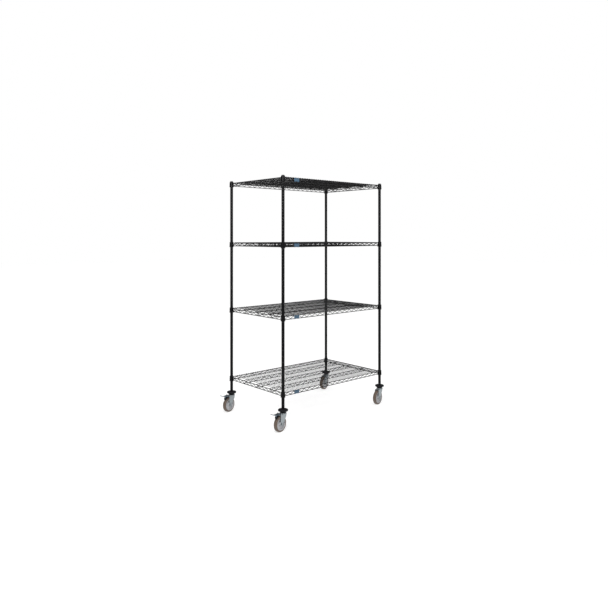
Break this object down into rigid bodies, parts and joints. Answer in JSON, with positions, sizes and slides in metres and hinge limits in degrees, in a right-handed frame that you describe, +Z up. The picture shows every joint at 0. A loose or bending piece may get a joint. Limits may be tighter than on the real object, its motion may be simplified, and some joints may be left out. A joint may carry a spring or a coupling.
{
  "type": "wire shelf cart",
  "caption": "Tall wheeled shelving cart: round grooved posts carry open wire shelves with zigzag-braced rims, on swivel casters with round bumpers and foot brakes.",
  "frame": {"origin": "on the floor, midway between the four posts", "axes": "+X along the long side of the shelves, towards the unbraked casters; +Y from the nameplate side to the back; +Z up"},
  "size_m": [1.3441, 0.8043, 2.0446],
  "materials": {
    "powder_coated_steel": "satin black powder coat",
    "black_plastic": "moulded, fine texture",
    "black_rubber": "moulded, matte",
    "slate_blue_plastic": "moulded, semi-gloss",
    "grey_plastic": "moulded nylon, satin",
    "taupe_polyurethane": "cast polyurethane, satin",
    "bearing_steel": "polished",
    "zinc_plated_steel": "bright zinc plate"
  },
  "bodies": {
    "frame": {"bottom_shelf_collars": "powder_coated_steel", "bottom_shelf_deck": "powder_coated_steel", "bottom_shelf_rim": "powder_coated_steel", "bottom_shelf_sleeves": "black_plastic", "caster_balls": "bearing_steel", "front_left_bumper": "black_rubber", "front_left_caster_race": "zinc_plated_steel", "front_left_caster_stem": "zinc_plated_steel", "front_left_post": "powder_coated_steel", "front_right_bumper": "black_rubber", "front_right_caster_race": "zinc_plated_steel", "front_right_caster_stem": "zinc_plated_steel", "front_right_post": "powder_coated_steel", "lower_middle_shelf_collars": "powder_coated_steel", "lower_middle_shelf_deck": "powder_coated_steel", "lower_middle_shelf_rim": "powder_coated_steel", "lower_middle_shelf_sleeves": "black_plastic", "post_caps": "black_plastic", "post_inserts": "black_plastic", "rear_left_bumper": "black_rubber", "rear_left_caster_race": "zinc_plated_steel", "rear_left_caster_stem": "zinc_plated_steel", "rear_left_post": "powder_coated_steel", "rear_right_bumper": "black_rubber", "rear_right_caster_race": "zinc_plated_steel", "rear_right_caster_stem": "zinc_plated_steel", "rear_right_post": "powder_coated_steel", "shelf_nameplates": "slate_blue_plastic", "top_shelf_collars": "powder_coated_steel", "top_shelf_deck": "powder_coated_steel", "top_shelf_rim": "powder_coated_steel", "top_shelf_sleeves": "black_plastic", "upper_middle_shelf_collars": "powder_coated_steel", "upper_middle_shelf_deck": "powder_coated_steel", "upper_middle_shelf_rim": "powder_coated_steel", "upper_middle_shelf_sleeves": "black_plastic"},
    "front_left_brake": {"front_left_brake_pad": "black_rubber", "front_left_brake_pedal": "zinc_plated_steel"},
    "front_left_caster": {"front_left_brake_pin": "zinc_plated_steel", "front_left_caster_fork": "zinc_plated_steel", "front_left_wheel_axle": "zinc_plated_steel"},
    "front_left_wheel": {"front_left_wheel_hub": "grey_plastic", "front_left_wheel_tread": "taupe_polyurethane"},
    "front_right_caster": {"front_right_caster_fork": "zinc_plated_steel", "front_right_wheel_axle": "zinc_plated_steel"},
    "front_right_wheel": {"front_right_wheel_hub": "grey_plastic", "front_right_wheel_tread": "taupe_polyurethane"},
    "rear_left_brake": {"rear_left_brake_pad": "black_rubber", "rear_left_brake_pedal": "zinc_plated_steel"},
    "rear_left_caster": {"rear_left_brake_pin": "zinc_plated_steel", "rear_left_caster_fork": "zinc_plated_steel", "rear_left_wheel_axle": "zinc_plated_steel"},
    "rear_left_wheel": {"rear_left_wheel_hub": "grey_plastic", "rear_left_wheel_tread": "taupe_polyurethane"},
    "rear_right_caster": {"rear_right_caster_fork": "zinc_plated_steel", "rear_right_wheel_axle": "zinc_plated_steel"},
    "rear_right_wheel": {"rear_right_wheel_hub": "grey_plastic", "rear_right_wheel_tread": "taupe_polyurethane"}
  },
  "joints": [
    {"name": "front_left_swivel", "type": "hinge", "parent": "frame", "child": "front_left_caster", "pos_m": [-0.5811, -0.3611, 0.1376], "axis": [0, 0, 1], "continuous": true},
    {"name": "front_left_roll", "type": "hinge", "parent": "front_left_caster", "child": "front_left_wheel", "pos_m": [-0.6184, -0.36835, 0.0635], "axis": [0.1908, -0.9816, 0], "continuous": true},
    {"name": "front_left_brake_press", "type": "hinge", "parent": "front_left_caster", "child": "front_left_brake", "pos_m": [-0.62429, -0.3695, 0.1421], "axis": [0.1908, -0.9816, 0], "range_deg": [0, 6]},
    {"name": "front_right_swivel", "type": "hinge", "parent": "frame", "child": "front_right_caster", "pos_m": [0.5811, -0.3611, 0.1376], "axis": [0, 0, 1], "continuous": true},
    {"name": "front_right_roll", "type": "hinge", "parent": "front_right_caster", "child": "front_right_wheel", "pos_m": [0.54393, -0.369, 0.0635], "axis": [0.2079, -0.9781, 0], "continuous": true},
    {"name": "rear_left_swivel", "type": "hinge", "parent": "frame", "child": "rear_left_caster", "pos_m": [-0.5811, 0.3611, 0.1376], "axis": [0, 0, 1], "continuous": true},
    {"name": "rear_left_roll", "type": "hinge", "parent": "rear_left_caster", "child": "rear_left_wheel", "pos_m": [-0.61797, 0.35191, 0.0635], "axis": [0.2419, -0.9703, 0], "continuous": true},
    {"name": "rear_left_brake_press", "type": "hinge", "parent": "rear_left_caster", "child": "rear_left_brake", "pos_m": [-0.62379, 0.35046, 0.1421], "axis": [0.2419, -0.9703, 0], "range_deg": [0, 6]},
    {"name": "rear_right_swivel", "type": "hinge", "parent": "frame", "child": "rear_right_caster", "pos_m": [0.5811, 0.3611, 0.1376], "axis": [0, 0, 1], "continuous": true},
    {"name": "rear_right_roll", "type": "hinge", "parent": "rear_right_caster", "child": "rear_right_wheel", "pos_m": [0.54439, 0.35126, 0.0635], "axis": [0.2588, -0.9659, 0], "continuous": true}
  ]
}
